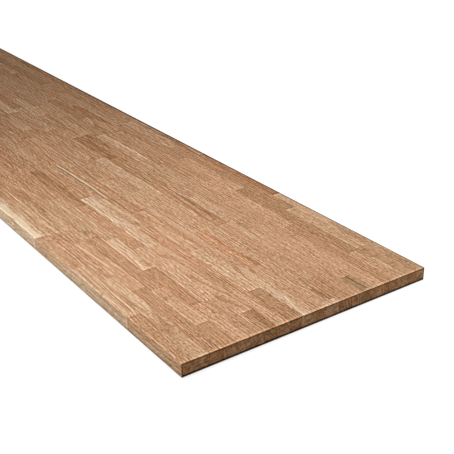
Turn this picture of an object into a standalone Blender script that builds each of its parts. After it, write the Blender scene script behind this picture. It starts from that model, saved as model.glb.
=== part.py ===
"""Butcher block countertop: a solid oak worktop glued up from rows of narrow staves.

Metres, +Z up. The origin is at the middle of the underside. The length runs along X, with the
near end at +X, and the depth along Y, with the front long side at -Y. Each row of staves is one
object, and the butt joints between its staves are fine V grooves round the row.
"""

import random

import bmesh
import bpy
from mathutils import Vector

# Overall size of the worktop
LENGTH = 3.000
DEPTH = 0.800
THICKNESS = 0.038

# Rows of staves, counted from the front long side
ROW_WIDTH = 0.0407
FRONT_ROW_WIDTH = 0.0360
NARROWEST_ROW = 0.0150
GLUE_LINE = 0.0003

# Butt joints between the staves of a row
GROOVE_WIDTH = 0.0004
GROOVE_DEPTH = 0.0004
SHORTEST_STAVE = 0.230
LONGEST_STAVE = 0.480
SHORTEST_OFFCUT = 0.060
LAYOUT_SEED = 27

# Arrises of the finished board
ARRIS = 0.0010
ARRIS_SEGMENTS = 2

# Distance of each butt joint from the near end, row by row from the front.
# Past the last one given, a row goes on with staves of random length.
NEAR_JOINTS = (
    (0.250, 0.562, 0.800),
    (0.458, 0.796),
    (0.360, 0.700),
    (0.120, 0.332, 0.708, 1.048),
    (0.204, 0.440, 0.664, 1.032),
    (0.203, 0.568, 0.930, 1.296),
    (0.100, 0.552, 0.980),
    (0.352, 0.676, 0.940, 1.304),
    (0.178, 0.462, 0.784, 0.968, 1.252),
    (0.365, 0.798, 1.100, 1.396),
    (0.280, 0.556, 0.930, 1.296),
    (0.022, 0.458, 0.860, 1.268),
    (0.136, 0.554, 0.956, 1.236),
    (0.400, 0.784, 1.180),
    (0.090, 0.506, 0.888, 1.164),
    (0.364, 0.700, 1.090),
    (0.430, 0.864, 1.240),
    (0.186, 0.744, 1.090, 1.552),
    (0.196, 0.525, 0.910),
    (0.374, 0.640, 1.088),
)

# Linear colour of each tone of oak, and the tone that most of each row has
OAK_TONES = {
    "oak_pale": (0.61, 0.40, 0.24),
    "oak_tan": (0.54, 0.32, 0.18),
    "oak_rose": (0.50, 0.28, 0.155),
    "oak_brown": (0.42, 0.22, 0.115),
}
ROW_TONES = (
    "oak_tan", "oak_tan", "oak_rose", "oak_rose", "oak_rose",
    "oak_pale", "oak_rose", "oak_tan", "oak_rose", "oak_tan",
    "oak_tan", "oak_tan", "oak_brown", "oak_tan", "oak_tan",
    "oak_rose", "oak_pale", "oak_brown", "oak_pale", "oak_brown",
)
OAK_ROUGHNESS = 0.55


def clear_scene():
    for obj in list(bpy.data.objects):
        bpy.data.objects.remove(obj, do_unlink=True)


def make_material(name, colour):
    material = bpy.data.materials.new(name)
    material.use_nodes = True
    shader = material.node_tree.nodes["Principled BSDF"]
    shader.inputs["Base Color"].default_value = (*colour, 1.0)
    shader.inputs["Roughness"].default_value = OAK_ROUGHNESS
    shader.inputs["Metallic"].default_value = 0.0
    return material


def row_bounds():
    """Front and back Y of each row. The last row takes what is left of the depth."""
    front = -DEPTH / 2
    lines = [front, front + FRONT_ROW_WIDTH]
    while DEPTH / 2 - lines[-1] > ROW_WIDTH + NARROWEST_ROW:
        lines.append(lines[-1] + ROW_WIDTH)
    lines.append(DEPTH / 2)
    return list(zip(lines[:-1], lines[1:]))


def joint_distances(row):
    """Distances of the row's butt joints from the near end, up to the far end."""
    given = NEAR_JOINTS[row % len(NEAR_JOINTS)]
    last_place = LENGTH - SHORTEST_OFFCUT
    distances = [place for place in given if place < last_place]
    chance = random.Random(LAYOUT_SEED + row)
    place = distances[-1] + chance.uniform(SHORTEST_STAVE, LONGEST_STAVE)
    while place < last_place:
        distances.append(place)
        place += chance.uniform(SHORTEST_STAVE, LONGEST_STAVE)
    return distances


def ease_arrises(mesh, front_is_outside, back_is_outside):
    """Rounds the edges that lie on the outside of the finished board."""

    def outside(edge):
        first, second = (vert.co for vert in edge.verts)
        middle = (first + second) / 2
        on_end = abs(abs(middle.x) - LENGTH / 2) < ARRIS / 2
        on_face = middle.z < ARRIS / 2 or middle.z > THICKNESS - ARRIS / 2
        on_front = front_is_outside and middle.y < ARRIS / 2 - DEPTH / 2
        on_back = back_is_outside and middle.y > DEPTH / 2 - ARRIS / 2
        return on_end + on_face + (on_front or on_back) >= 2

    bmesh.ops.bevel(
        mesh,
        geom=[edge for edge in mesh.edges if outside(edge)],
        offset=ARRIS,
        offset_type="OFFSET",
        segments=ARRIS_SEGMENTS,
        profile=0.5,
        affect="EDGES",
    )


def cut_groove(mesh, x, centre):
    """Cuts a V groove round the row at x, by drawing in the middle one of three rings."""
    for place in (x - GROOVE_WIDTH / 2, x, x + GROOVE_WIDTH / 2):
        geom = list(mesh.verts) + list(mesh.edges) + list(mesh.faces)
        bmesh.ops.bisect_plane(
            mesh, geom=geom, dist=GROOVE_WIDTH / 100, plane_co=(place, 0, 0), plane_no=(1, 0, 0)
        )
    for vert in mesh.verts:
        if abs(vert.co.x - x) < GROOVE_WIDTH / 4:
            vert.co.y += GROOVE_DEPTH if vert.co.y < centre.y else -GROOVE_DEPTH
            vert.co.z += GROOVE_DEPTH if vert.co.z < centre.z else -GROOVE_DEPTH


def make_row(row, front, back, material, collection):
    front_is_outside = front == -DEPTH / 2
    back_is_outside = back == DEPTH / 2
    front += 0 if front_is_outside else GLUE_LINE / 2
    back -= 0 if back_is_outside else GLUE_LINE / 2
    centre = Vector((0, (front + back) / 2, THICKNESS / 2))

    bm = bmesh.new()
    bmesh.ops.create_cube(bm, size=1.0)
    bmesh.ops.scale(bm, verts=bm.verts, vec=(LENGTH, back - front, THICKNESS))
    bmesh.ops.translate(bm, verts=bm.verts, vec=centre)
    ease_arrises(bm, front_is_outside, back_is_outside)
    for distance in joint_distances(row):
        cut_groove(bm, LENGTH / 2 - distance, centre)
    bmesh.ops.translate(bm, verts=bm.verts, vec=-centre)

    mesh = bpy.data.meshes.new(f"stave_row_{row + 1:02d}")
    bm.to_mesh(mesh)
    bm.free()
    mesh.materials.append(material)
    obj = bpy.data.objects.new(mesh.name, mesh)
    obj.location = centre
    collection.objects.link(obj)
    return obj


def main():
    clear_scene()
    collection = bpy.data.collections.new("butcher_block_countertop")
    bpy.context.scene.collection.children.link(collection)
    materials = {name: make_material(name, colour) for name, colour in OAK_TONES.items()}
    for row, (front, back) in enumerate(row_bounds()):
        tone = ROW_TONES[row % len(ROW_TONES)]
        make_row(row, front, back, materials[tone], collection)


main()
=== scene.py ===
import math
import random

import bmesh
import bpy
import numpy as np
from mathutils import Matrix, Vector


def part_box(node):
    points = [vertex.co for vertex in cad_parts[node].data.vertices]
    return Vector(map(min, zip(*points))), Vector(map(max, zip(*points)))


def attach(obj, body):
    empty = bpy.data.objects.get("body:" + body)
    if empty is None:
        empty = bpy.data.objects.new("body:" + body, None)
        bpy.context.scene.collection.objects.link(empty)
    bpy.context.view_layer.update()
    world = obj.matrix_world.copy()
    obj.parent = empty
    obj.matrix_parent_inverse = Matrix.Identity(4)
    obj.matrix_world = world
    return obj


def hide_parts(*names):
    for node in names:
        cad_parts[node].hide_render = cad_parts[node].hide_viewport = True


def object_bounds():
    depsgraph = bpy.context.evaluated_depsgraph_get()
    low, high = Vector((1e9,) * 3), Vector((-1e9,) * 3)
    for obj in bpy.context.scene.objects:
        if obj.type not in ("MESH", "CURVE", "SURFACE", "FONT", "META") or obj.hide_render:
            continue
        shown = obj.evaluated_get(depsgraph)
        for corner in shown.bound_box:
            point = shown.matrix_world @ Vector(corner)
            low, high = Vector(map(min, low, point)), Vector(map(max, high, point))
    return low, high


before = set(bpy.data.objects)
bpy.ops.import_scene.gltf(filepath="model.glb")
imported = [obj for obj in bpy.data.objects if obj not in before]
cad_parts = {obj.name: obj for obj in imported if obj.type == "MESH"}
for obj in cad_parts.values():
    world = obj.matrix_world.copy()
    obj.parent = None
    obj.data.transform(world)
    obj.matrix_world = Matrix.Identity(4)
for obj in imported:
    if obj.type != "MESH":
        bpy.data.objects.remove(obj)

cadLow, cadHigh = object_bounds()
boardDepth = cadHigh.y - cadLow.y
print("frame loaded:", len(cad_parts), "rows of staves")


# Camera: it stands beside the near end. The eye is counted in board depths
cameraChoice = {
    "eye": (1.8103, -1.1175, 1.4573),  # from the top corner of the near end and the front side
    "look": (-0.7357, 0.5206, -0.4333),
    "up": (-0.3507, 0.2545, 0.9013),
    "lens": 70.3,
    "clipEnd": 200,
}


def makeCamera():
    corner = Vector((cadHigh.x, cadLow.y, cadHigh.z))
    back = -Vector(cameraChoice["look"]).normalized()
    right = Vector(cameraChoice["up"]).cross(back).normalized()
    up = back.cross(right)
    turn = Matrix((right, up, back)).transposed().to_4x4()
    eye = corner + Vector(cameraChoice["eye"]) * boardDepth
    bpy.ops.object.camera_add(location=eye)
    camera = bpy.context.object
    camera.matrix_world = Matrix.Translation(eye) @ turn
    camera.data.lens = cameraChoice["lens"]
    camera.data.clip_end = cameraChoice["clipEnd"]
    bpy.context.scene.camera = camera


# Shader maths: a wire is one socket, and expressions on wires add nodes
class Wire:
    def __init__(self, tree, socket=None):
        self.tree = tree
        self.socket = socket

    def node(self, kind, settings=None, inputs=None, output=0):
        new = self.tree.nodes.new(kind)
        for name, value in (settings or {}).items():
            setattr(new, name, value)
        for key, value in (inputs or {}).items():
            if isinstance(value, Wire):
                self.tree.links.new(value.socket, new.inputs[key])
            else:
                new.inputs[key].default_value = value
        return Wire(self.tree, new.outputs[output]) if new.outputs else None

    def calc(self, operation, first, second=0.0, third=0.0):
        return self.node("ShaderNodeMath", {"operation": operation}, {0: first, 1: second, 2: third})

    def __add__(self, other):
        return self.calc("ADD", self, other)

    def __radd__(self, other):
        return self.calc("ADD", other, self)

    def __sub__(self, other):
        return self.calc("SUBTRACT", self, other)

    def __rsub__(self, other):
        return self.calc("SUBTRACT", other, self)

    def __mul__(self, other):
        return self.calc("MULTIPLY", self, other)

    def __rmul__(self, other):
        return self.calc("MULTIPLY", other, self)

    def __truediv__(self, other):
        return self.calc("DIVIDE", self, other)

    def __abs__(self):
        return self.calc("ABSOLUTE", self)

    def lower(self, other):
        return self.calc("MINIMUM", self, other)

    def higher(self, other):
        return self.calc("MAXIMUM", self, other)

    def split(self):
        return [self.node("ShaderNodeSeparateXYZ", {}, {0: self}, axis) for axis in range(3)]

    def join(self, x, y, z):
        return self.node("ShaderNodeCombineXYZ", {}, {0: x, 1: y, 2: z})

    def stretch(self, scales):
        return self.node("ShaderNodeVectorMath", {"operation": "MULTIPLY"}, {0: self, 1: scales})

    def noise(self, scales, detail=2.0, roughness=0.5):
        return self.node("ShaderNodeTexNoise", {}, {
            "Vector": self.stretch(scales), "Scale": 1.0, "Detail": detail, "Roughness": roughness})

    def streaks(self, length, period, lean, order):
        waves = 1.2
        x, y, z = self.split()
        place = self.join(x / length, (y + z * lean) / (period * waves), 0.0)
        return self.node("ShaderNodeTexGabor", {"gabor_type": "2D"}, {
            "Vector": place, "Scale": 1.0, "Frequency": waves, "Anisotropy": order,
            "Orientation": math.radians(90)})

    def ramp(self, low, high, fromValue=0.0, toValue=1.0):
        return self.node("ShaderNodeMapRange", {"interpolation_type": "SMOOTHSTEP"}, {
            "Value": self, "From Min": low, "From Max": high, "To Min": fromValue, "To Max": toValue})

    def fade(self, low, high):
        return self.ramp(low, high, 1.0, 0.0)

    def noLess(self, least):
        return self * (1.0 - least) + least

    def mix(self, other, amount):
        return self.node("ShaderNodeMix", {"data_type": "RGBA"}, {0: amount, 6: self, 7: other}, 2)

    def tint(self, colour, amount):
        return self.node("ShaderNodeMix", {"data_type": "RGBA", "blend_type": "MULTIPLY"}, {
            0: amount, 6: self, 7: (*colour, 1.0)}, 2)

    def bend(self, scales, amount):
        waves = self.node("ShaderNodeTexNoise", {}, {"Vector": self.stretch(scales), "Scale": 1.0}, "Color")
        waves = self.node("ShaderNodeVectorMath", {"operation": "SUBTRACT"}, {0: waves, 1: (0.5, 0.5, 0.5)})
        shift = waves.stretch(self.join(0.0, amount, amount))
        return self.node("ShaderNodeVectorMath", {"operation": "ADD"}, {0: self, 1: shift})


def newMaterial(name):
    material = bpy.data.materials.new(name)
    material.use_nodes = True
    material.node_tree.nodes.clear()
    return material, Wire(material.node_tree)


# Floor and light. What the camera sees of the floor is a little of its own colour and a white glow
stageChoice = {
    "floorSize": 60.0,
    "floorDrop": 0.0004,
    "floorColour": 0.93,
    "floorColourToCamera": 0.27,
    "frontGlow": 0.80,
    "backGlow": 0.94,
    "glowTurn": (-0.6, 0.9),  # the glow changes from front to back between these places
    "farGlow": 1.02,
    "farFrom": (0.15, 1.00),  # distances from the board between which the far glow comes in
    # a painted contact shadow on the floor just past the board's ends: how dark it gets, and its width
    "contactShade": 0.60,
    "contactWidth": 0.0022,
    "roomLight": 0.258,
    "roomColour": (1.06, 0.96, 0.75, 1.0),
}
lampChoice = {
    "overhead": {"place": (1.08, -0.25, 1.75), "aim": (1.02, -0.15, 0.0), "width": 0.9, "height": 0.9,
                 "colour": (0.955, 1.0, 1.08), "power": 27.6},
    "frontSide": {"place": (0.20, -2.60, 0.50), "aim": (0.20, -0.40, 0.02), "width": 2.4, "height": 0.7,
                  "colour": (0.96, 1.0, 1.05), "power": 21.8},
    "endSide": {"place": (2.30, 1.00, 0.22), "aim": (1.50, 0.30, 0.02), "width": 0.4, "height": 0.3,
                "colour": (1.0, 1.0, 1.0), "power": 2.6},
}


def seenPath(wire):
    camera, glossy, through = (wire.node("ShaderNodeLightPath", {}, {}, "Is " + kind + " Ray")
                               for kind in ("Camera", "Glossy", "Transmission"))
    return camera.higher(glossy).higher(through)


def makeFloor():
    choice = stageChoice
    bpy.ops.mesh.primitive_plane_add(size=choice["floorSize"], location=(0, 0, -choice["floorDrop"]))
    floor = bpy.context.object
    floor.name = "floor"
    material, wire = newMaterial("paleFloor")
    seen = seenPath(wire)
    x, y, z = wire.node("ShaderNodeTexCoord", {}, {}, "Object").split()
    pastEnd = abs(x) - cadHigh.x
    pastSide = abs(y) - cadHigh.y
    # painted contact shadow: the floor darkens within the contact width past the board's ends, and under
    # the board
    paintedEndShadow = pastEnd.ramp(0.0, choice["contactWidth"], choice["contactShade"], 1.0)
    contact = paintedEndShadow.higher(pastSide.ramp(-choice["contactWidth"], 0.0))
    shade = seen * (choice["floorColourToCamera"] - choice["floorColour"]) + choice["floorColour"]
    matt = wire.node("ShaderNodeBsdfDiffuse", {}, {"Color": shade * contact})
    near = y.ramp(*choice["glowTurn"], choice["frontGlow"], choice["backGlow"])
    far = pastEnd.higher(pastSide).ramp(*choice["farFrom"])
    strength = (near + far * (choice["farGlow"] - near)) * contact
    glow = wire.node("ShaderNodeEmission", {}, {"Strength": seen * strength})
    both = wire.node("ShaderNodeAddShader", {}, {0: matt, 1: glow})
    wire.node("ShaderNodeOutputMaterial", {}, {"Surface": both})
    floor.data.materials.append(material)


def makeLight():
    world = bpy.data.worlds.new("room")
    world.use_nodes = True
    world.node_tree.nodes.clear()
    bpy.context.scene.world = world
    wire = Wire(world.node_tree)
    seen = seenPath(wire)
    strength = seen * (1.0 - stageChoice["roomLight"]) + stageChoice["roomLight"]
    colour = wire.node("ShaderNodeMix", {"data_type": "RGBA"}, {
        0: seen, 6: stageChoice["roomColour"], 7: (1.0, 1.0, 1.0, 1.0)}, 2)
    sky = wire.node("ShaderNodeBackground", {}, {"Color": colour, "Strength": strength})
    wire.node("ShaderNodeOutputWorld", {}, {"Surface": sky})
    for name, choice in lampChoice.items():
        place = Vector(choice["place"])
        toAim = Vector(choice["aim"]) - place
        bpy.ops.object.light_add(type="AREA", location=place)
        lamp = bpy.context.object
        lamp.name = name
        lamp.data.shape = "RECTANGLE"
        lamp.data.size = choice["width"]
        lamp.data.size_y = choice["height"]
        lamp.data.energy = choice["power"]
        lamp.data.color = choice["colour"]
        lamp.visible_camera = False
        lamp.rotation_euler = toAim.to_track_quat("-Z", "Y").to_euler()
    bpy.context.scene.view_settings.view_transform = "Standard"


# Tones of oak, as linear colours
oakTones = {
    "cream": (0.621, 0.406, 0.255),
    "pale": (0.601, 0.379, 0.231),
    "straw": (0.561, 0.346, 0.203),
    "blush": (0.581, 0.341, 0.197),
    "sand": (0.508, 0.306, 0.177),
    "tan": (0.543, 0.320, 0.185),
    "honey": (0.542, 0.301, 0.167),
    "rose": (0.513, 0.289, 0.159),
    "russet": (0.492, 0.270, 0.145),
    "brown": (0.465, 0.263, 0.140),
    "umber": (0.423, 0.214, 0.106),
}

# Tones of each row's staves from the near end. The rest of a row is drawn from the common ones
rowTones = {
    1: "rose pale tan cream",
    2: "straw tan straw",
    3: "rose blush tan",
    4: "rose straw rose straw tan",
    5: "blush russet cream straw rose",
    6: "tan pale honey brown",
    7: "brown blush cream rose",
    8: "tan honey straw tan",
    9: "brown pale blush russet rose",
    10: "straw rose straw tan",
    11: "tan honey straw tan",
    12: "cream tan straw pale rose",
    13: "rose tan russet brown umber",
    14: "tan straw tan rose",
    15: "brown tan tan straw pale",
    16: "blush tan tan rose",
    17: "rose blush rose tan",
    18: "straw brown blush rose",
    19: "rose straw brown rose",
    20: "straw pale umber tan",
}
commonTones = "tan tan rose rose sand straw blush honey brown pale cream russet".split()

# Streaks on single staves, by row and stave. Each runs from start to end, which are given in metres
# from the near end and across the row from its front line. It may bow, and dip down the end face
markColours = {
    "sapwood": (0.80, 0.62, 0.43),
    "milk": (0.66, 0.45, 0.30),
    "bark": (0.12, 0.075, 0.045),
    "stain": (0.27, 0.135, 0.062),
    "moss": (0.47, 0.31, 0.165),
    "olive": (0.35, 0.235, 0.128),
    "seam": (0.16, 0.085, 0.040),
}


def mark(colour, amount, start, end, width, bow=0.0, dip=0.0):
    return {"colour": colour, "amount": amount, "start": start, "end": end, "width": width,
            "bow": bow, "dip": dip}


staveMarks = {
    (1, 2): [mark("milk", 0.5, (0.260, 0.0100), (0.550, 0.0220), 0.0060)],
    (1, 4): [mark("sapwood", 0.8, (0.803, 0.0120), (1.100, 0.0120), 0.0200, dip=-8.0)],
    (3, 2): [mark("sapwood", 0.6, (0.510, 0.0180), (0.700, 0.0040), 0.0030)],
    (4, 4): [mark("moss", 0.5, (0.715, 0.0180), (0.790, 0.0220), 0.0080)],
    (5, 3): [mark("moss", 0.5, (0.442, 0.0280), (0.540, 0.0330), 0.0080)],
    (7, 3): [
        mark("sapwood", 0.85, (0.747, 0.0130), (0.978, 0.0070), 0.0045),
        mark("sapwood", 0.5, (0.880, 0.0300), (0.980, 0.0240), 0.0075),
    ],
    (8, 4): [
        mark("sapwood", 1.0, (0.942, 0.0360), (1.302, 0.0290), 0.0050, bow=0.7),
        mark("seam", 0.7, (0.942, 0.0310), (1.302, 0.0240), 0.0040, bow=0.7),
    ],
    (10, 1): [
        mark("milk", 0.5, (-0.010, 0.0130), (0.310, 0.0300), 0.0110, dip=0.5),
        mark("sapwood", 0.95, (-0.010, 0.0050), (0.105, 0.0240), 0.0034, dip=0.8),
    ],
    (10, 2): [mark("milk", 0.5, (0.365, 0.0280), (0.798, 0.0240), 0.0100)],
    (11, 3): [mark("stain", 0.7, (0.556, 0.0220), (0.800, 0.0060), 0.0032)],
    (11, 4): [mark("bark", 0.5, (0.940, 0.0240), (1.060, 0.0160), 0.0030, bow=2.0)],
    (12, 2): [
        mark("stain", 0.5, (0.024, 0.0310), (0.090, 0.0250), 0.0085),
        mark("bark", 0.75, (0.080, 0.0290), (0.165, 0.0370), 0.0016),
    ],
    (13, 1): [mark("bark", 0.6, (0.022, 0.0006), (0.090, 0.0006), 0.0016)],
    (13, 3): [mark("stain", 0.7, (0.554, 0.0400), (0.956, 0.0400), 0.0055)],
    (13, 5): [mark("stain", 0.7, (1.238, 0.0160), (1.450, 0.0340), 0.0070)],
    (14, 1): [mark("stain", 0.8, (-0.010, 0.0060), (0.026, 0.0010), 0.0026)],
    (14, 2): [mark("stain", 0.6, (0.540, 0.0010), (0.784, 0.0010), 0.0040)],
    (15, 1): [
        mark("olive", 0.55, (-0.010, 0.0120), (0.093, 0.0120), 0.0170),
        mark("seam", 1.0, (0.012, 0.0245), (0.093, 0.0240), 0.0038),
    ],
    (16, 1): [mark("stain", 0.5, (0.325, 0.0200), (0.364, 0.0200), 0.0065)],
    (18, 2): [mark("stain", 0.4, (0.460, 0.0210), (0.600, 0.0160), 0.0065)],
    (19, 3): [mark("stain", 0.5, (0.525, 0.0350), (0.600, 0.0380), 0.0065)],
}
streakShape = {
    "wander": 2.4,  # in shares of the streak's width
    "side": (0.30, 1.0),
    "endBlur": 0.03,
}
staveKnots = {
    (4, 4): {"place": (0.744, 0.020), "length": 0.045, "width": 0.012, "lift": 0.012},
    (5, 3): {"place": (0.475, 0.030), "length": 0.055, "width": 0.016, "lift": 0.022},
    (11, 4): {"place": (1.240, 0.020), "length": 0.060, "width": 0.014, "lift": 0.014},
    (12, 2): {"place": (0.062, 0.029), "length": 0.045, "width": 0.012, "lift": 0.012},
}

# How a stave lies in the log that it was sawn from, and how bold its grain is. Metres and degrees
logChoice = {
    "spacing": 3.0,
    "toPith": (0.025, 0.160),
    "lean": 0.016,
    "flatSpread": 12,
    "quarterSpread": 20,
    "ringWidth": (0.0045, 0.0110),
    "wildness": (0.0040, 0.0130),
    "ringContrast": (0.6, 1.0),
    "shortStreaks": (0.90, 1.60),
    "longStreaks": (2.00, 3.60),
    "fineBold": (0.45, 1.35),
    "coarseBold": (0.02, 0.75),
    "coarseRise": 0.50,  # for each metre from the near end
    "coarseSpread": (0.8, 1.2),
    "shadeSpread": (0.97, 1.03),
}

# A stave stands out from its neighbours most along its own borders
rimChoice = {
    "contrast": 0.60,
    "even": 0.05,
    "evenRise": 0.10,
    "width": 0.0030,
    "widthRise": 0.0035,
    "lengthShare": 2.0,
    "edge": (0.6, 1.5),
}

# Patterns in the log, in turns for each metre along it and across it
grainScales = {
    "slowBend": (3.0, 16, 16),
    "bend": (4.0, 20, 20),
    "quickBend": (10, 60, 60),
    "fibre": (9, 150, 150),
    "patches": (6, 45, 45),
    "drift": (1.6, 34, 34),
    "flush": (0.9, 55, 55),
    "grit": (110, 260, 260),
    "pores": (30, 1900, 1900),
    "wander": (9, 40, 40),
    "dots": (60, 700, 700),
    "mottle": (4, 75, 75),
    "glue": (5, 24, 24),
}
rayScales = (24.0, 70.0, 900.0)  # along the log, out from the pith and round it
streakChoice = {
    "order": (0.8, 2.0, 0.82, 1.0),  # short streaks lie a little less in line than long ones
    "patches": (0.35, 0.65, 0.45, 1.25),
    "speckle": {"length": (0.016, 0.0), "period": 0.0076, "lean": 0.8},
    "dashes": {"length": (0.010, 0.026), "period": 0.0150, "lean": -0.7},
}
ringChoice = {
    "bends": (0.6, 1.5, 0.4),  # shares of a stave's wildness, from the slow bend to the quick one
    "unevenScale": 0.31,
    "unevenShift": 2.2,
    "earlywood": ((0.0, 0.08), (0.14, 0.42)),  # where in a ring it comes in and where it goes out
    "latewood": ((0.50, 0.75), (0.90, 1.00)),
    "earlyLeast": 0.3,  # how bold the faintest ring is
    "lateLeast": 0.5,
    "poreLeast": 0.15,
    "endPoreLeast": 0.3,
    "rayShare": 0.6,
}

# Each layer multiplies the oak's colour by a tint, and comes in as its value goes from the first
# number to the second
grainLayers = {
    "dull": ((0.97, 0.955, 0.94), 0.35, 0.75),
    "clear": ((1.025, 1.03, 1.04), 0.60, 0.30),
    "flush": ((1.02, 0.97, 0.945), 0.42, 0.68),
    "paleFibre": ((1.08, 1.11, 1.15), 0.50, 0.35),
    "darkFibre": ((0.88, 0.83, 0.76), 0.50, 0.68),
    "paleSpeckle": ((1.17, 1.26, 1.38), 0.48, 0.38),
    "darkSpeckle": ((0.66, 0.53, 0.40), 0.53, 0.62),
    "paleDash": ((1.20, 1.32, 1.46), 0.48, 0.38),
    "darkDash": ((0.70, 0.60, 0.48), 0.52, 0.62),
    "paleGrit": ((1.21, 1.30, 1.41), 0.44, 0.34),
    "darkGrit": ((0.65, 0.55, 0.44), 0.55, 0.66),
    "earlywood": ((0.64, 0.54, 0.42), 0.0, 1.0),
    "latewood": ((1.12, 1.18, 1.26), 0.0, 1.0),
    "pores": ((0.60, 0.52, 0.43), 0.56, 0.68),
    "rays": ((1.12, 1.14, 1.17), 0.60, 0.70),
    "markSpeckle": ((0.80, 0.77, 0.74), 0.50, 0.68),
    "knotHeart": ((0.82, 0.76, 0.66), 0.55, 0.95),
    "endGrain": ((0.560, 0.510, 0.445), 0.55, 0.80),
    "endDark": ((0.80, 0.76, 0.71), 0.50, 0.62),
    "endPale": ((1.22, 1.27, 1.30), 0.50, 0.38),
    "endPores": ((0.70, 0.65, 0.60), 0.48, 0.62),
    # faces looking to the front or back are tinted a little paler and cooler than the top
    "sideTint": ((0.955, 1.075, 1.15), 0.55, 0.80),
    "glue": ((0.48, 0.40, 0.32), 0.50, 0.66),
    # painted light along the board's arrises: a painted highlight on the top face near its arrises and both
    # ends, painted shade along its back edge and on the end faces just under the top arris, and a dark
    # painted contact shadow along the lower arrises
    "topArris": ((1.20, 1.24, 1.28), 0.0100, 0.0040),
    "endEdgeHighlight": ((1.18, 1.20, 1.22), 0.0100, 0.0040),
    "backEdgeShade": ((0.25, 0.20, 0.15), 0.95, 0.45),
    "underArrisShade": ((0.55, 0.50, 0.45), 0.0058, 0.0030),
    "lowArrisShadow": ((0.11, 0.08, 0.055), 0.0074, 0.0046),
}
# facingUp picks the top face for the painted highlights and the painted back-edge shade; the back numbers
# give the width, growth and reach of that painted shade, and lowOnSide how much of the painted contact
# shadow along the lower arrises reaches the long sides
edgeChoice = {
    "facingUp": (0.50, 0.80),
    "glueWidth": 0.0012,
    "buttWidth": 0.0010,
    "buttShade": 0.35,
    "backWidth": 0.0065,
    "backRise": 0.0050,
    "backReach": 1.6,
    "backNear": 0.75,
    "lowOnSide": 0.35,
}
finishChoice = {
    "roughness": 0.55,
    "fibreRough": 0.10,
    "poreRough": 0.15,
    "endRough": 0.12,
    "gloss": 0.03,
    "speckleRise": 0.2,
    "poreSink": 0.6,
    "glueSink": 0.8,
    "bumpStrength": 0.25,
    "bumpDepth": 0.0003,
}


def tintOf(layer):
    return grainLayers[layer][0]


def amountOf(layer, value):
    return value.ramp(*grainLayers[layer][1:])


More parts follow.
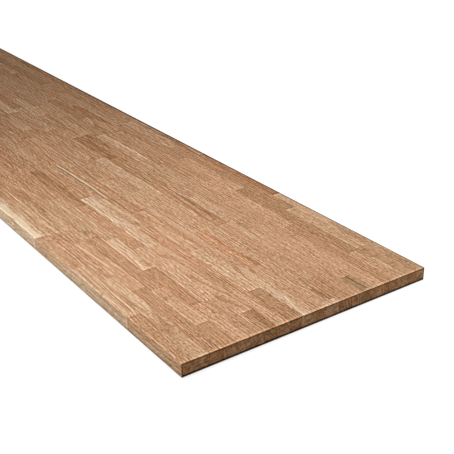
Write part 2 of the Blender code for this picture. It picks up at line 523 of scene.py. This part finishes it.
def oakMaterial(name):
    material, wire = newMaterial(name)

    def attribute(title, output="Vector"):
        return wire.node("ShaderNodeAttribute", {"attribute_name": title}, {}, output)

    def within(value, limits):
        return value.ramp(*limits[0]) * value.fade(*limits[1])

    def streaks(kind):
        choice = streakChoice[kind]
        share, least = choice["length"]
        made = calm.streaks(stretch * share + least, choice["period"], choice["lean"], order)
        return (made - 0.5) * longGrain + 0.5

    # rings: distance from the pith, bent by slow waves, by small ones and round a knot
    ringWidth, wildness, contrast = attribute("figure").split()
    knotX, knotY, knotLift = attribute("knot").split()
    knot = wire.calc("EXPONENT", 0.0 - (knotX * knotX + knotY * knotY))
    slow, middling, quick = ringChoice["bends"]
    calm = attribute("logPlace").bend(grainScales["slowBend"], wildness * slow)
    log = calm.bend(grainScales["bend"], wildness * middling)
    log = log.bend(grainScales["quickBend"], wildness * quick)
    along, side, height = log.split()
    radius = wire.calc("SQRT", side * side + height * height) + knot * knotLift
    count = radius / ringWidth
    uneven = wire.node("ShaderNodeTexNoise", {"noise_dimensions": "1D"}, {
        "W": count * ringChoice["unevenScale"], "Scale": 1.0, "Detail": 1.0})
    count = count + uneven * ringChoice["unevenShift"]
    share = wire.calc("FRACT", count)
    ringNumber = wire.calc("FLOOR", count)
    chance = wire.node("ShaderNodeTexWhiteNoise", {"noise_dimensions": "1D"}, {"W": ringNumber}, "Value")
    earlywood = within(share, ringChoice["earlywood"]) * chance.noLess(ringChoice["earlyLeast"])
    latewood = within(share, ringChoice["latewood"]) * chance.noLess(ringChoice["lateLeast"])

    # fibres from coarse to fine, streaks of open pores along them, and rays
    acrossX, acrossY, acrossZ = wire.node("ShaderNodeTexCoord", {}, {}, "Normal").split()
    endGrain = amountOf("endGrain", abs(acrossX))
    longGrain = 1.0 - endGrain
    fibre = calm.noise(grainScales["fibre"], 4.0, 0.80)
    stretch, fineBold, coarseBold = attribute("streak").split()
    order = stretch.ramp(*streakChoice["order"])
    speckle = streaks("speckle")
    dashes = streaks("dashes")
    patchy = calm.noise(grainScales["patches"]).ramp(*streakChoice["patches"]) * fineBold
    drift = log.noise(grainScales["drift"])
    flush = log.noise(grainScales["flush"], 1.0)
    grit = calm.noise(grainScales["grit"], 1.0)
    pores = amountOf("pores", log.noise(grainScales["pores"], 1.0))
    pores = pores * earlywood.noLess(ringChoice["poreLeast"])
    turn = wire.calc("ARCTAN2", height, side)
    rayPlace = wire.join(along, radius, turn * radius)
    rays = amountOf("rays", rayPlace.noise(rayScales, 1.0)) * ringChoice["rayShare"]

    colour = attribute("tone", "Color")
    for layer, amount in (
        ("dull", amountOf("dull", drift)),
        ("clear", amountOf("clear", drift)),
        ("flush", amountOf("flush", flush)),
        ("paleFibre", amountOf("paleFibre", fibre)),
        ("darkFibre", amountOf("darkFibre", fibre)),
        ("paleSpeckle", amountOf("paleSpeckle", speckle) * patchy),
        ("darkSpeckle", amountOf("darkSpeckle", speckle) * patchy),
        ("paleDash", amountOf("paleDash", dashes) * coarseBold),
        ("darkDash", amountOf("darkDash", dashes) * coarseBold),
        ("darkGrit", amountOf("darkGrit", grit)),
        ("paleGrit", amountOf("paleGrit", grit)),
        ("earlywood", earlywood * contrast),
        ("latewood", latewood * contrast),
        ("pores", pores),
        ("rays", rays),
    ):
        colour = colour.tint(tintOf(layer), amount)

    # streaks of sapwood, mineral stain and bark, and the heart of a knot
    blur = streakShape["endBlur"]
    wander = (log.noise(grainScales["wander"]) - 0.5) * streakShape["wander"]
    for title in ("firstMark", "secondMark"):
        offset, progress, bow = attribute(title).split()
        offset = offset + wander - progress * (1.0 - progress) * bow * 4.0
        inside = progress.ramp(-blur, blur) * progress.fade(1.0 - blur, 1.0 + blur)
        amount = abs(offset).fade(*streakShape["side"]) * inside * attribute(title + "Colour", "Alpha")
        paint = attribute(title + "Colour", "Color")
        paint = paint.tint(tintOf("markSpeckle"), amountOf("markSpeckle", speckle))
        colour = colour.mix(paint, amount)
    colour = colour.tint(tintOf("knotHeart"), amountOf("knotHeart", knot))

    # places on the board and in its stave
    place = wire.node("ShaderNodeTexCoord", {}, {}, "Object")
    x, y, z = place.split()
    lowX, lowY, lowZ = attribute("fromLow").split()
    highX, highY, highZ = attribute("toHigh").split()
    toEnd = cadHigh.x - abs(x)
    toSide = cadHigh.y - abs(y)
    toTop = cadHigh.z - z
    topArris = toTop.higher(toEnd).lower(toTop.higher(toSide)).lower(toEnd.higher(toSide))
    # distance to the lower arrises, for the painted contact shadow there
    lowArrisShadow = z.higher(toEnd).lower(z.higher(toSide))
    upward = acrossZ.ramp(*edgeChoice["facingUp"])

    # glue lines, and the borders of a stave beside paler or darker ones
    longGlue = lowY.lower(highY).fade(0.0, edgeChoice["glueWidth"])
    longGlue = longGlue * amountOf("glue", place.noise(grainScales["glue"]))
    buttGlue = lowX.lower(highX).ramp(0.0, edgeChoice["buttWidth"], edgeChoice["buttShade"], 0.0)
    glue = longGlue.higher(buttGlue)
    towardFront, towardBack, rimWidth = attribute("sideRims").split()
    towardNear, towardFar, rimLength = attribute("endRims").split()
    rims = towardFront * (lowY / rimWidth).fade(*rimChoice["edge"])
    rims = rims + towardBack * (highY / rimWidth).fade(*rimChoice["edge"])
    rims = rims + towardNear * (highX / rimLength).fade(*rimChoice["edge"])
    rims = rims + towardFar * (lowX / rimLength).fade(*rimChoice["edge"])
    colour = colour.stretch(rims * longGrain + 1.0)

    # end grain is darker, with the pores as dots, and along the board's arrises painted highlights and
    # painted shade stand in for light
    dots = amountOf("endPores", log.noise(grainScales["dots"], 2.0, 0.6))
    mottle = calm.noise(grainScales["mottle"], 3.0, 0.6)
    # painted shade along the back edge of the top face, wider towards the far end
    fromEnd = (cadHigh.x - x).lower(edgeChoice["backReach"])
    backWidth = fromEnd * edgeChoice["backRise"] + edgeChoice["backWidth"]
    backEdgeShade = amountOf("backEdgeShade", (cadHigh.y - y) / backWidth)
    backEdgeShade = backEdgeShade * fromEnd.ramp(0.0, edgeChoice["backReach"], edgeChoice["backNear"], 1.0)
    for layer, amount in (
        ("endGrain", endGrain),
        ("endDark", amountOf("endDark", mottle) * endGrain),
        ("endPale", amountOf("endPale", mottle) * endGrain),
        ("endPores", dots * earlywood.noLess(ringChoice["endPoreLeast"]) * endGrain),
        # the long sides are tinted a little paler and cooler than the top
        ("sideTint", amountOf("sideTint", abs(acrossY))),
        ("glue", glue),
        # painted highlight on the top face along its arrises and near both ends
        ("topArris", amountOf("topArris", topArris) * upward),
        ("endEdgeHighlight", amountOf("endEdgeHighlight", toEnd) * upward),
        ("backEdgeShade", backEdgeShade * upward),
        # painted shade on the end faces just under the top arris
        ("underArrisShade", amountOf("underArrisShade", topArris) * endGrain),
        # a dark painted contact shadow along the lower arrises, strongest on the end faces
        ("lowArrisShadow", amountOf("lowArrisShadow", lowArrisShadow) * endGrain.noLess(edgeChoice["lowOnSide"])),
    ):
        colour = colour.tint(tintOf(layer), amount)

    finish = finishChoice
    roughness = finish["roughness"] + fibre * finish["fibreRough"] + pores * finish["poreRough"]
    roughness = roughness + endGrain * finish["endRough"]
    relief = speckle * finish["speckleRise"] - pores * finish["poreSink"] - glue * finish["glueSink"]
    bump = wire.node("ShaderNodeBump", {}, {
        "Strength": finish["bumpStrength"], "Distance": finish["bumpDepth"], "Height": relief})
    surface = wire.node("ShaderNodeBsdfPrincipled", {}, {
        "Base Color": colour, "Roughness": roughness, "Normal": bump,
        "Specular IOR Level": finish["gloss"]})
    wire.node("ShaderNodeOutputMaterial", {}, {"Surface": surface})
    return material


# Staves: a few blanks are modelled, and each stave is a blank cut to its length
staveChoice = {
    "blankLength": 0.30,
    "boardArris": 0.0010,
    "staveArris": 0.00012,
    "rowGap": 0.00004,
    "buttGap": 0.00008,
    "grooveDepth": 0.0002,
    "endMargin": 0.0020,
    "arrisSegments": 3,
    "sharpAngle": 50,
    "smoothAngle": 40,
}


def selectEdges(blank, wanted):
    mesh = bmesh.from_edit_mesh(blank.data)
    for edge in mesh.edges:
        edge.select_set(wanted(edge))
    bmesh.update_edit_mesh(blank.data)


def makeBlank(low, high, outerFront, outerBack, outerNear, outerFar):
    bpy.ops.object.select_all(action="DESELECT")
    bpy.ops.mesh.primitive_cube_add(size=1.0, location=(low + high) / 2)
    blank = bpy.context.object
    blank.name = "blank"
    blank.scale = high - low
    bpy.ops.object.transform_apply(location=True, rotation=True, scale=True)
    bpy.ops.object.mode_set(mode="EDIT")
    bpy.ops.mesh.select_mode(type="EDGE")
    near = staveChoice["boardArris"] / 4

    def onBoardArris(edge):
        middle = (edge.verts[0].co + edge.verts[1].co) / 2
        onFace = middle.z < low.z + near or middle.z > high.z - near
        onFront = outerFront and middle.y < low.y + near
        onBack = outerBack and middle.y > high.y - near
        onNear = outerNear and middle.x > high.x - near
        onFar = outerFar and middle.x < low.x + near
        return onFace + (onFront or onBack) + (onNear or onFar) >= 2

    selectEdges(blank, onBoardArris)
    if outerFront or outerBack or outerNear or outerFar:
        bpy.ops.mesh.bevel(
            offset=staveChoice["boardArris"], segments=staveChoice["arrisSegments"], affect="EDGES")
    sharp = math.radians(staveChoice["sharpAngle"])
    selectEdges(blank, lambda edge: len(edge.link_faces) == 2 and edge.calc_face_angle() > sharp)
    bpy.ops.mesh.bevel(offset=staveChoice["staveArris"], segments=1, affect="EDGES")
    bpy.ops.object.mode_set(mode="OBJECT")
    bpy.ops.object.shade_smooth_by_angle(angle=math.radians(staveChoice["smoothAngle"]))
    return blank


def readRow(names, row):
    low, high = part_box(names[row - 1])
    highest = {}
    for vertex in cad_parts[names[row - 1]].data.vertices:
        x = round(vertex.co.x, 5)
        highest[x] = max(highest.get(x, 0.0), vertex.co.z)
    joints = [x for x, z in highest.items()
              if z < high.z - staveChoice["grooveDepth"] and abs(x) < high.x - staveChoice["endMargin"]]
    if row > 1:
        low.y = (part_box(names[row - 2])[1].y + low.y) / 2 + staveChoice["rowGap"] / 2
    if row < len(names):
        high.y = (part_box(names[row])[0].y + high.y) / 2 - staveChoice["rowGap"] / 2
    return low, high, [high.x, *sorted(joints, reverse=True), low.x]


def setAttribute(mesh, name, kind, values):
    values = np.asarray(values, np.float32)
    if values.ndim == 1:
        values = np.tile(values, (len(mesh.vertices), 1))
    field = {"FLOAT_VECTOR": "vector", "FLOAT_COLOR": "color"}[kind]
    mesh.attributes.new(name, kind, "POINT").data.foreach_set(field, values.ravel())


def drawTone(row, number):
    chance = random.Random(row * 100 + number)
    tones = rowTones.get(row, "").split()
    return (tones[number - 1] if number <= len(tones) else chance.choice(commonTones)), chance


def brightness(tone):
    return sum(oakTones[tone]) / sum(oakTones["tan"])


def brightnessBeside(rowEnds, row, farX, nearX, own):
    ends = rowEnds.get(row, [])
    total = 0.0
    weighted = 0.0
    for number, (high, low) in enumerate(zip(ends[:-1], ends[1:]), 1):
        overlap = min(high, nearX) - max(low, farX)
        if overlap > 0:
            total += overlap
            weighted += overlap * brightness(drawTone(row, number)[0])
    return weighted / total if total else own


def shadeRims(mesh, rowEnds, row, number, farX, nearX):
    own = brightness(drawTone(row, number)[0])
    front = brightnessBeside(rowEnds, row - 1, farX, nearX, own)
    back = brightnessBeside(rowEnds, row + 1, farX, nearX, own)
    near = brightness(drawTone(row, number - 1)[0]) if number > 1 else own
    far = brightness(drawTone(row, number + 1)[0]) if number < len(rowEnds[row]) - 1 else own
    width = rimChoice["width"] + rimChoice["widthRise"] * (cadHigh.x - (farX + nearX) / 2)
    steps = [(own / other) ** rimChoice["contrast"] - 1 for other in (front, back, near, far)]
    setAttribute(mesh, "sideRims", "FLOAT_VECTOR", (*steps[:2], width))
    setAttribute(mesh, "endRims", "FLOAT_VECTOR", (*steps[2:], width * rimChoice["lengthShare"]))


def sawFromLog(mesh, low, high, outer, tone, number, chance):
    points = np.array([vertex.co for vertex in mesh.vertices])
    around = points - np.array((low + high) / 2)
    saw = chance.choice(("flat", "rift", "rift", "quarter"))
    flat = logChoice["flatSpread"]
    quarter = logChoice["quarterSpread"]
    angle = math.radians({"flat": chance.choice((-90, 90)) + chance.uniform(-flat, flat),
                          "quarter": chance.choice((0, 180)) + chance.uniform(-quarter, quarter),
                          "rift": chance.uniform(0, 360)}[saw])
    toPith = chance.uniform(*logChoice["toPith"])
    leanY = chance.gauss(0, logChoice["lean"])
    leanZ = chance.gauss(0, logChoice["lean"])
    setAttribute(mesh, "logPlace", "FLOAT_VECTOR", np.column_stack((
        around[:, 0] + logChoice["spacing"] * number,
        around[:, 1] - toPith * math.cos(angle) + leanY * around[:, 0],
        around[:, 2] - toPith * math.sin(angle) + leanZ * around[:, 0],
    )))
    figure = [chance.uniform(*logChoice[key]) for key in ("ringWidth", "wildness", "ringContrast")]
    setAttribute(mesh, "figure", "FLOAT_VECTOR", figure)
    fromEnd = cadHigh.x - (low.x + high.x) / 2
    leastCoarse, mostCoarse = logChoice["coarseBold"]
    coarse = min(mostCoarse, leastCoarse + logChoice["coarseRise"] * fromEnd)
    lengths = logChoice[chance.choice(("shortStreaks", "shortStreaks", "longStreaks"))]
    setAttribute(mesh, "streak", "FLOAT_VECTOR", (
        chance.uniform(*lengths),
        chance.uniform(*logChoice["fineBold"]),
        coarse * chance.uniform(*logChoice["coarseSpread"]),
    ))
    shade = chance.uniform(*logChoice["shadeSpread"])
    shade = shade / brightness(tone) ** (rimChoice["even"] + rimChoice["evenRise"] * fromEnd)
    setAttribute(mesh, "tone", "FLOAT_COLOR", [*(shade * value for value in oakTones[tone]), 1.0])
    setAttribute(mesh, "fromLow", "FLOAT_VECTOR", points - np.array(low) + np.array(outer[0], float))
    setAttribute(mesh, "toHigh", "FLOAT_VECTOR", np.array(high) - points + np.array(outer[1], float))


def paintMarks(mesh, low, row, number):
    points = np.array([vertex.co for vertex in mesh.vertices])
    fromEnd = cadHigh.x - points[:, 0]
    fromFront = points[:, 1] - low.y
    marks = staveMarks.get((row, number), ())
    elsewhere = (9.0, 9.0, 0.0)
    for layer, title in enumerate(("firstMark", "secondMark")):
        place = elsewhere
        paint = (1.0, 1.0, 1.0, 0.0)
        if layer < len(marks):
            streak = marks[layer]
            startX, startY = streak["start"]
            endX, endY = streak["end"]
            progress = (fromEnd - startX) / (endX - startX)
            line = startY + progress * (endY - startY) + streak["dip"] * (points[:, 2] - cadHigh.z)
            bow = np.full(len(points), streak["bow"])
            place = np.column_stack(((fromFront - line) / streak["width"], progress, bow))
            paint = (*markColours[streak["colour"]], streak["amount"])
        setAttribute(mesh, title, "FLOAT_VECTOR", place)
        setAttribute(mesh, title + "Colour", "FLOAT_COLOR", paint)
    knot = staveKnots.get((row, number))
    place = elsewhere
    if knot:
        place = np.column_stack(((fromEnd - knot["place"][0]) / knot["length"],
                                 (fromFront - knot["place"][1]) / knot["width"],
                                 np.full(len(points), knot["lift"])))
    setAttribute(mesh, "knot", "FLOAT_VECTOR", place)


def cutStave(blank, blankLow, blankHigh, low, high):
    stave = bpy.data.objects.new("stave", blank.data.copy())
    bpy.context.scene.collection.objects.link(stave)
    middle = (blankLow.x + blankHigh.x) / 2
    for vertex in stave.data.vertices:
        vertex.co.x += high.x - blankHigh.x if vertex.co.x > middle else low.x - blankLow.x
        vertex.co.y += low.y - blankLow.y
    return stave


def joinRow(staves, name):
    bpy.ops.object.select_all(action="DESELECT")
    for stave in staves:
        stave.select_set(True)
    bpy.context.view_layer.objects.active = staves[0]
    bpy.ops.object.join()
    row = bpy.context.object
    row.name = name
    row.data.name = name
    return row


def makeBoard():
    names = sorted(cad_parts)
    plain = oakMaterial("oak")
    blanks = {}
    count = 0
    rowEnds = {row: readRow(names, row)[2] for row in range(1, len(names) + 1)}
    buttHalf = staveChoice["buttGap"] / 2
    for row, name in enumerate(names, 1):
        low, high, ends = readRow(names, row)
        staves = []
        for number, (nearX, farX) in enumerate(zip(ends[:-1], ends[1:]), 1):
            outer = {"outerFront": row == 1, "outerBack": row == len(names),
                     "outerNear": number == 1, "outerFar": number == len(ends) - 1}
            staveLow = Vector((farX + (0 if outer["outerFar"] else buttHalf), low.y, low.z))
            staveHigh = Vector((nearX - (0 if outer["outerNear"] else buttHalf), high.y, high.z))
            kind = tuple(outer.values())
            if kind not in blanks:
                blankLow = Vector((-staveChoice["blankLength"] / 2, staveLow.y, staveLow.z))
                blankHigh = Vector((staveChoice["blankLength"] / 2, staveHigh.y, staveHigh.z))
                blanks[kind] = makeBlank(blankLow, blankHigh, **outer), blankLow, blankHigh
            stave = cutStave(*blanks[kind], staveLow, staveHigh)
            tone, chance = drawTone(row, number)
            count += 1
            masks = ((outer["outerFar"], outer["outerFront"], 1),
                     (outer["outerNear"], outer["outerBack"], 1))
            sawFromLog(stave.data, staveLow, staveHigh, masks, tone, count, chance)
            shadeRims(stave.data, rowEnds, row, number, farX, nearX)
            paintMarks(stave.data, low, row, number)
            stave.data.materials.clear()
            stave.data.materials.append(plain)
            staves.append(stave)
        piece = joinRow(staves, name.replace("stave_row", "oak_row"))
        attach(piece, "root")
        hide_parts(name)
    for blank, _, _ in blanks.values():
        bpy.data.objects.remove(blank, do_unlink=True)
    print("board:", count, "staves from", len(blanks), "blanks")


makeCamera()
makeFloor()
makeLight()
print("stage ready")
makeBoard()
